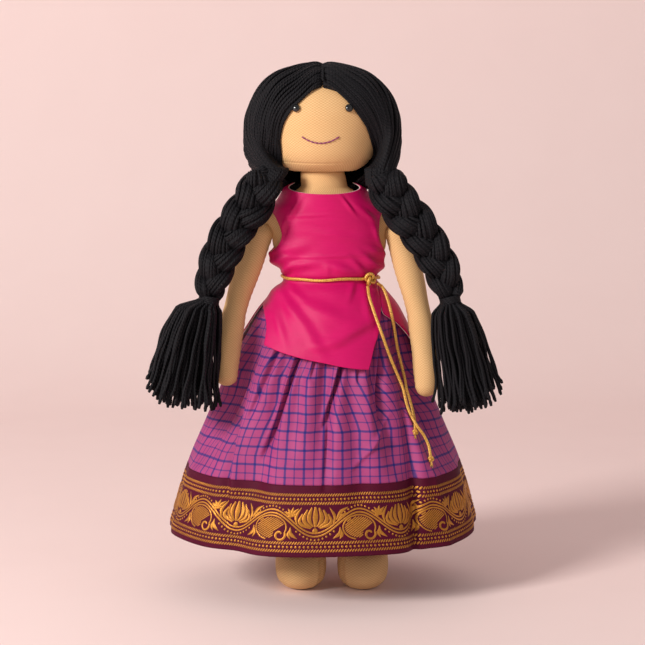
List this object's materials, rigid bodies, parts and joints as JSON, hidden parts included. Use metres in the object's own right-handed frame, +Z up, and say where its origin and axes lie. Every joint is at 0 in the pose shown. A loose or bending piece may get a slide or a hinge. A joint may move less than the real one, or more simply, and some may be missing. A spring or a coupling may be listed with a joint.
{
  "type": "cloth rag doll",
  "caption": "Stuffed cloth doll with black yarn plaits and tassels, a pink tunic tied with a gold cord, and a checked skirt with a woven border.",
  "frame": {"origin": "on the ground between the soles, in the middle of the whole doll's width and depth", "axes": "+Z up along the standing doll; the doll faces -Y; its own right hand is at -X"},
  "size_m": [0.2804, 0.202, 0.4198],
  "materials": {
    "doll_skin": "matt knitted cotton",
    "stuffing": "loose fibre",
    "bead_black": "polished",
    "smile_thread": "matt thread",
    "black_yarn": "soft wool",
    "tunic_pink": "thin silk, slightly glossy",
    "lining": "plain weave",
    "skirt_check": "woven check, faint sheen",
    "border_brocade": "woven with metallic thread",
    "elastic": "knitted elastic",
    "gold_cord": "braided metallic thread"
  },
  "bodies": {
    "torso": {"torso_skin": "doll_skin", "torso_filling": "stuffing", "skirt_cloth": "skirt_check", "skirt_border": "border_brocade", "skirt_waistband": "skirt_check", "waist_elastic": "elastic", "tunic_front": "tunic_pink", "tunic_front_lining": "lining", "tunic_back": "tunic_pink", "tunic_back_lining": "lining", "waist_cord": "gold_cord", "waist_cord_knot": "gold_cord", "cord_tail_inner": "gold_cord", "inner_tail_knot": "gold_cord", "cord_tail_outer": "gold_cord", "outer_tail_knot": "gold_cord"},
    "head": {"head_skin": "doll_skin", "head_filling": "stuffing", "right_eye_bead": "bead_black", "left_eye_bead": "bead_black", "smile_stitch": "smile_thread", "hair_right": "black_yarn", "hair_left": "black_yarn", "parting_seam": "black_yarn"},
    "right_plait": {"right_hair_binding": "black_yarn", "right_plait_strand_a": "black_yarn", "right_plait_strand_b": "black_yarn", "right_plait_strand_c": "black_yarn", "right_plait_tie": "black_yarn", "right_tassel": "black_yarn"},
    "right_arm": {"right_arm_skin": "doll_skin", "right_arm_filling": "stuffing"},
    "right_leg": {"right_leg_skin": "doll_skin", "right_leg_filling": "stuffing"},
    "left_plait": {"left_hair_binding": "black_yarn", "left_plait_strand_a": "black_yarn", "left_plait_strand_b": "black_yarn", "left_plait_strand_c": "black_yarn", "left_plait_tie": "black_yarn", "left_tassel": "black_yarn"},
    "left_arm": {"left_arm_skin": "doll_skin", "left_arm_filling": "stuffing"},
    "left_leg": {"left_leg_skin": "doll_skin", "left_leg_filling": "stuffing"}
  },
  "joints": [
    {"name": "neck_nod", "type": "hinge", "parent": "torso", "child": "head", "pos_m": [0, 0, 0.322], "axis": [1, 0, 0], "range_deg": [-5, 15]},
    {"name": "right_plait_hang", "type": "hinge", "parent": "head", "child": "right_plait", "pos_m": [-0.0465, -0.026, 0.332], "axis": [1, 0, 0], "range_deg": [-15, 5]},
    {"name": "left_plait_hang", "type": "hinge", "parent": "head", "child": "left_plait", "pos_m": [0.0465, -0.026, 0.332], "axis": [1, 0, 0], "range_deg": [-15, 5]},
    {"name": "right_shoulder", "type": "hinge", "parent": "torso", "child": "right_arm", "pos_m": [-0.0496, 0, 0.283], "axis": [0.342, 0.9397, 0], "range_deg": [0, 90]},
    {"name": "left_shoulder", "type": "hinge", "parent": "torso", "child": "left_arm", "pos_m": [0.0604, 0, 0.283], "axis": [0.342, -0.9397, 0], "range_deg": [0, 90]},
    {"name": "right_hip", "type": "hinge", "parent": "torso", "child": "right_leg", "pos_m": [-0.0175, 0, 0.158], "axis": [-1, 0, 0], "range_deg": [-10, 90], "deforming": ["skirt_cloth", "skirt_border"]},
    {"name": "left_hip", "type": "hinge", "parent": "torso", "child": "left_leg", "pos_m": [0.0325, 0, 0.158], "axis": [-1, 0, 0], "range_deg": [-10, 90], "deforming": ["skirt_cloth", "skirt_border"]}
  ],
  "couplings": [
    {"joint": "right_plait_hang", "follows": "neck_nod", "ratio": -1},
    {"joint": "left_plait_hang", "follows": "neck_nod", "ratio": -1},
    {"joint": "left_hip", "follows": "right_hip", "ratio": 1}
  ]
}
